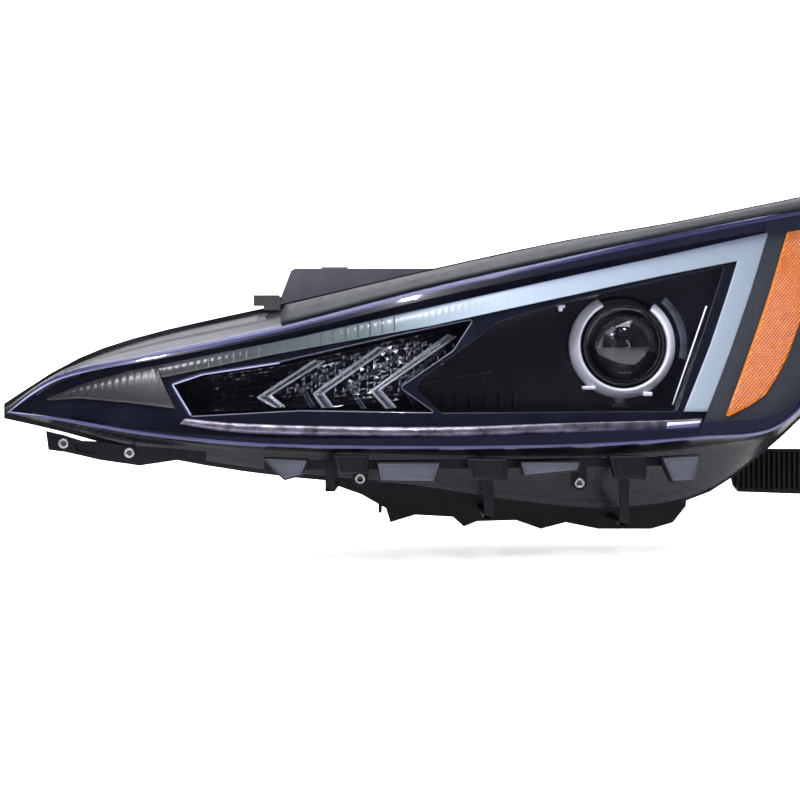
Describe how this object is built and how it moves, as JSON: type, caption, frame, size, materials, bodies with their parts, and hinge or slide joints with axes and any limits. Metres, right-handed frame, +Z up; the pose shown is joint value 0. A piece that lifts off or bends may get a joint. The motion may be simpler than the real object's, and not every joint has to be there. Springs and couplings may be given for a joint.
{
  "type": "car headlight assembly",
  "caption": "Left-hand car headlight: clear wrap-round lens over a black bezel, tilting projector beam, light guide, chevron turn signal, amber reflector and rear bulb access.",
  "frame": {"origin": "centre of the upper inner mounting eye, on its top face", "axes": "+X to the outboard end (the car's left side), +Y rearward along the beam axis, +Z up"},
  "size_m": [0.781, 0.2903, 0.335],
  "materials": {
    "housing_black": "moulded polypropylene, satin grain",
    "sealant": "black butyl bead",
    "clear_lens": "hard-coated clear polycarbonate",
    "seal_rubber": "matt foam rubber",
    "bezel_gloss": "piano black",
    "bezel_matt": "fine grained dark grey",
    "guide_pale": "diffusing light guide, unlit",
    "board_green": "solder-mask green",
    "chrome_trim": "bright vacuum metallised",
    "clear_optic": "clear acrylic with metallised facets",
    "amber_reflex": "amber micro-prism reflex reflector",
    "projector_glass": "pressed glass, coated",
    "holder_black": "black",
    "die_cast": "as die cast",
    "steel": "zinc plated",
    "reflector_silver": "metallised inside",
    "bulb_glass": "clear halogen capsule",
    "bulb_amber": "amber coated glass",
    "nut_white": "natural acetal",
    "cap_black": "moulded nylon",
    "socket_grey": "glass filled nylon",
    "pin_brass": "tinned",
    "bracket_black": "satin black",
    "mount_steel": "dark zinc-nickel",
    "carrier_grey": "satin violet grey"
  },
  "bodies": {
    "lamp_base": {"housing": "housing_black", "lens_sealant": "sealant", "outer_lens": "clear_lens", "hood_seal_strip": "seal_rubber", "hood_clip": "housing_black", "bezel": "bezel_gloss", "side_bezel": "bezel_matt", "drl_light_guide": "guide_pale", "drl_circuit_board": "board_green", "lower_light_bar": "chrome_trim", "turn_reflector": "chrome_trim", "turn_blade_inner": "clear_optic", "turn_blade_middle": "clear_optic", "turn_blade_outer": "clear_optic", "side_reflector": "amber_reflex", "projector_ring": "chrome_trim", "projector_frame": "housing_black", "vent_caps": "cap_black", "connector_socket": "cap_black", "connector_pins": "pin_brass", "bumper_bracket": "bracket_black", "inner_bracket": "bracket_black", "fender_bracket": "housing_black", "bracket_screws": "steel", "cap_ring": "cap_black", "aim_bush": "nut_white", "upper_mount": "mount_steel", "outer_mount": "mount_steel", "fender_mount": "mount_steel", "locating_pin": "mount_steel", "upper_carrier": "carrier_grey", "lower_web": "housing_black", "lamp_seats": "cap_black"},
    "projector": {"projector_lens": "projector_glass", "lens_holder": "holder_black", "shutter_frame": "die_cast", "shutter_pin": "steel", "shutter_spring": "steel", "solenoid_body": "holder_black", "projector_reflector": "reflector_silver", "projector_screws": "steel", "pivot_pins": "steel"},
    "shutter": {"shutter_plate": "steel"},
    "plunger": {"solenoid_plunger": "steel"},
    "low_beam_lamp": {"low_beam_bulb": "bulb_glass", "bulb_holder": "steel"},
    "aim_screw": {"aim_screw": "steel"},
    "aim_nut": {"aim_nut": "nut_white"},
    "rear_cap": {"rear_cap": "cap_black", "rear_cap_seal": "seal_rubber"},
    "turn_lamp": {"turn_bulb": "bulb_amber", "turn_socket": "socket_grey"},
    "marker_lamp": {"marker_bulb": "bulb_amber", "marker_socket": "socket_grey"}
  },
  "joints": [
    {"name": "aim_screw_spin", "type": "hinge", "parent": "lamp_base", "child": "aim_screw", "pos_m": [0.305, -0.034, -0.1435], "axis": [0, 1, 0], "range_deg": [-778, 778]},
    {"name": "aim_nut_slide", "type": "slide", "parent": "lamp_base", "child": "aim_nut", "axis": [0, 1, 0], "range_m": [-0.0034, 0.0034]},
    {"name": "projector_tilt", "type": "hinge", "parent": "lamp_base", "child": "projector", "pos_m": [0.271, -0.074, -0.0815], "axis": [1, 0, 0], "range_deg": [-3.1, 3.1]},
    {"name": "shutter_flip", "type": "hinge", "parent": "projector", "child": "shutter", "pos_m": [0.271, -0.074, -0.11], "axis": [1, 0, 0], "range_deg": [-16, 0], "stiffness_Nm_per_rad": 0.02, "springref_deg": 17.19},
    {"name": "solenoid_slide", "type": "slide", "parent": "projector", "child": "plunger", "axis": [0, 1, 0], "range_m": [-0.0062, 0.0001]},
    {"name": "bulb_twist", "type": "hinge", "parent": "projector", "child": "low_beam_lamp", "pos_m": [0.271, -0.01, -0.0815], "axis": [0, 1, 0], "range_deg": [0, 40]},
    {"name": "rear_cap_twist", "type": "hinge", "parent": "lamp_base", "child": "rear_cap", "pos_m": [0.271, 0.021, -0.0815], "axis": [0, 1, 0], "range_deg": [0, 45]},
    {"name": "turn_socket_twist", "type": "hinge", "parent": "lamp_base", "child": "turn_lamp", "pos_m": [0.003, -0.054, -0.12], "axis": [0, 1, 0], "range_deg": [0, 45]},
    {"name": "marker_socket_twist", "type": "hinge", "parent": "lamp_base", "child": "marker_lamp", "pos_m": [0.383, -0.009, -0.014], "axis": [0, 1, 0], "range_deg": [0, 45]}
  ],
  "couplings": [
    {"joint": "aim_nut_slide", "follows": "aim_screw_spin", "m_per_rad": 0.00023873},
    {"joint": "projector_tilt", "follows": "aim_screw_spin", "ratio": 0.0038505},
    {"joint": "solenoid_slide", "follows": "shutter_flip", "m_per_rad": 0.0217}
  ]
}
